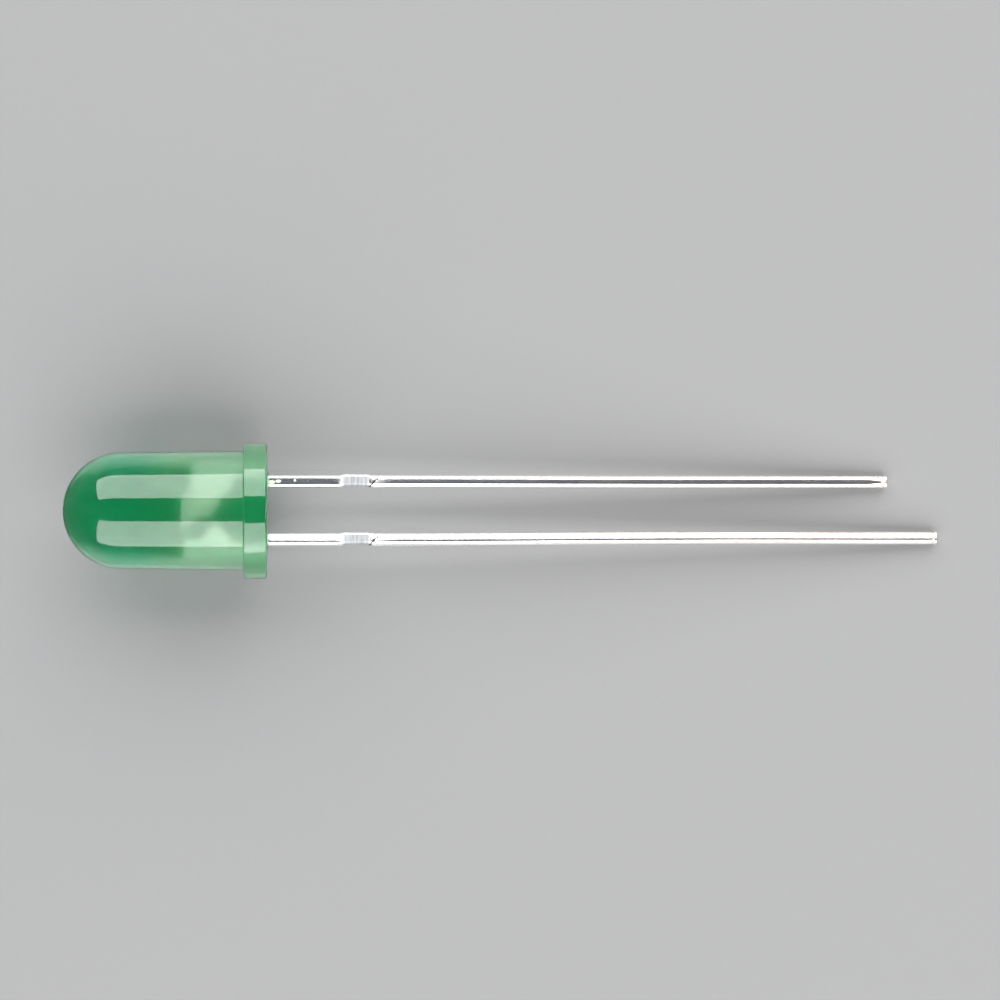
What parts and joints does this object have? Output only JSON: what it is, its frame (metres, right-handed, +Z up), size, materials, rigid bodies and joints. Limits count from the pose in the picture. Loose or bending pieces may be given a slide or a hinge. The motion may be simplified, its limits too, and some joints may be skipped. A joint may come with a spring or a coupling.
{
  "type": "through hole led",
  "caption": "Round 5 mm through-hole LED with a green diffused epoxy lens, a flange with a shallow cathode flat, and two square tinned leads, lying on its side.",
  "frame": {"origin": "middle of the bounding box, on the surface that the part lies on", "axes": "+X from the dome towards the lead tips, +Y towards the cathode lead, +Z up from the surface"},
  "size_m": [0.0382, 0.0058, 0.006],
  "materials": {
    "green_epoxy": "glossy moulded epoxy, translucent green with diffusant",
    "tinned_steel": "bright tin over stamped steel, matt where the tie bar was cut",
    "semiconductor": "sawn crystal sides with a metal pad on top",
    "silver_epoxy": "cured silver-filled paste",
    "gold_wire": "drawn gold"
  },
  "bodies": {
    "root": {"epoxy_lens": "green_epoxy", "cathode_lead": "tinned_steel", "anode_lead": "tinned_steel", "led_die": "semiconductor", "die_attach": "silver_epoxy", "bond_wire": "gold_wire"}
  },
  "joints": []
}
